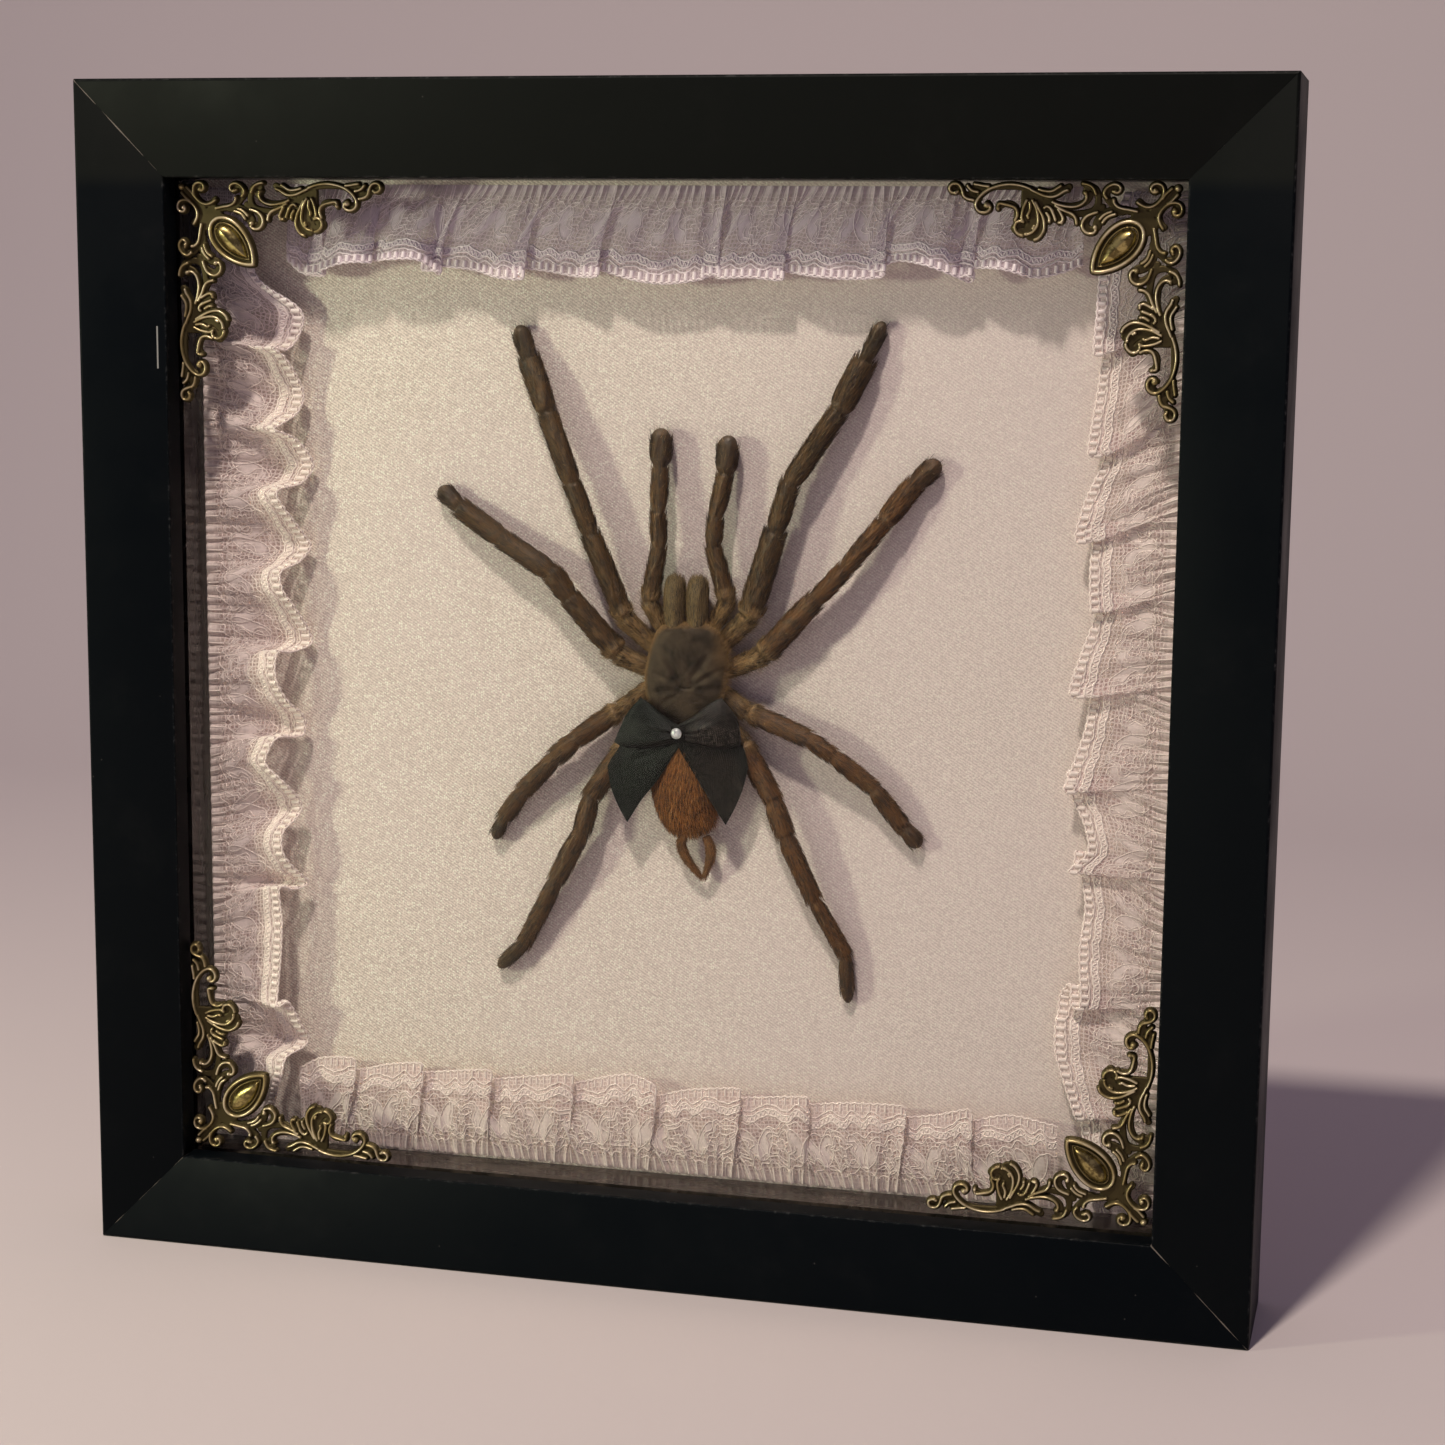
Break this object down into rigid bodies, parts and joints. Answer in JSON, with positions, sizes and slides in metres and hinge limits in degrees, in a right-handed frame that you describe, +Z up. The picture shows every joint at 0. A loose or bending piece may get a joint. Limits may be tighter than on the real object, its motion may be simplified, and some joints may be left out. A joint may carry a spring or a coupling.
{
  "type": "framed tarantula specimen",
  "caption": "Square black box frame with a glass front holding a spread tarantula specimen in a ribbon bow, on satin edged with gathered lace and metal filigree corners.",
  "frame": {"origin": "middle of the bottom face of the frame, on the surface it stands on", "axes": "+Z up, -Y out of the glass towards the viewer, +X to the viewer's right"},
  "size_m": [0.24, 0.028, 0.24],
  "materials": {
    "rail_foil": "matte black foil over moulded wood fibre",
    "clear_glass": "clear picture glass",
    "spacer_gloss": "glossy black strip",
    "satin_cloth": "pale cream and pink satin with a fine twill line",
    "mount_card": "grey card",
    "back_board": "brown fibre board",
    "steel": "bright zinc plated steel",
    "filigree_metal": "antique bronze with bright ridges and dark recesses",
    "lace_cloth": "sheer lilac pink lace",
    "spider_shell": "dark grey brown shell with short hair",
    "leg_hair": "olive brown to reddish brown hair over shell",
    "abdomen_hair": "orange brown wool",
    "black_ribbon": "fine black twill ribbon with a green cast",
    "stone_glass": "cut clear stone in a silvered cup"
  },
  "bodies": {
    "root": {"frame_rail_bottom": "rail_foil", "frame_rail_left": "rail_foil", "frame_rail_right": "rail_foil", "frame_rail_top": "rail_foil", "glass_pane": "clear_glass", "spacer_bottom": "spacer_gloss", "spacer_left": "spacer_gloss", "spacer_right": "spacer_gloss", "spacer_top": "spacer_gloss", "satin_backing": "satin_cloth", "mount_board": "mount_card", "back_panel": "back_board", "point_bottom": "steel", "point_left": "steel", "point_right": "steel", "point_top": "steel", "hanger_plate": "steel", "hanger_nail_left": "steel", "hanger_nail_right": "steel", "corner_top_left": "filigree_metal", "corner_top_right": "filigree_metal", "corner_bottom_left": "filigree_metal", "corner_bottom_right": "filigree_metal", "lace_bottom": "lace_cloth", "lace_left": "lace_cloth", "lace_right": "lace_cloth", "lace_top": "lace_cloth", "front_body": "spider_shell", "chelicera_left": "spider_shell", "palp_left": "leg_hair", "leg_left_1": "leg_hair", "leg_left_2": "leg_hair", "leg_left_3": "leg_hair", "leg_left_4": "leg_hair", "spinneret_left": "abdomen_hair", "chelicera_right": "spider_shell", "palp_right": "leg_hair", "leg_right_1": "leg_hair", "leg_right_2": "leg_hair", "leg_right_3": "leg_hair", "leg_right_4": "leg_hair", "spinneret_right": "abdomen_hair", "abdomen": "abdomen_hair", "ribbon_bow": "black_ribbon", "rhinestone": "stone_glass"}
  },
  "joints": []
}
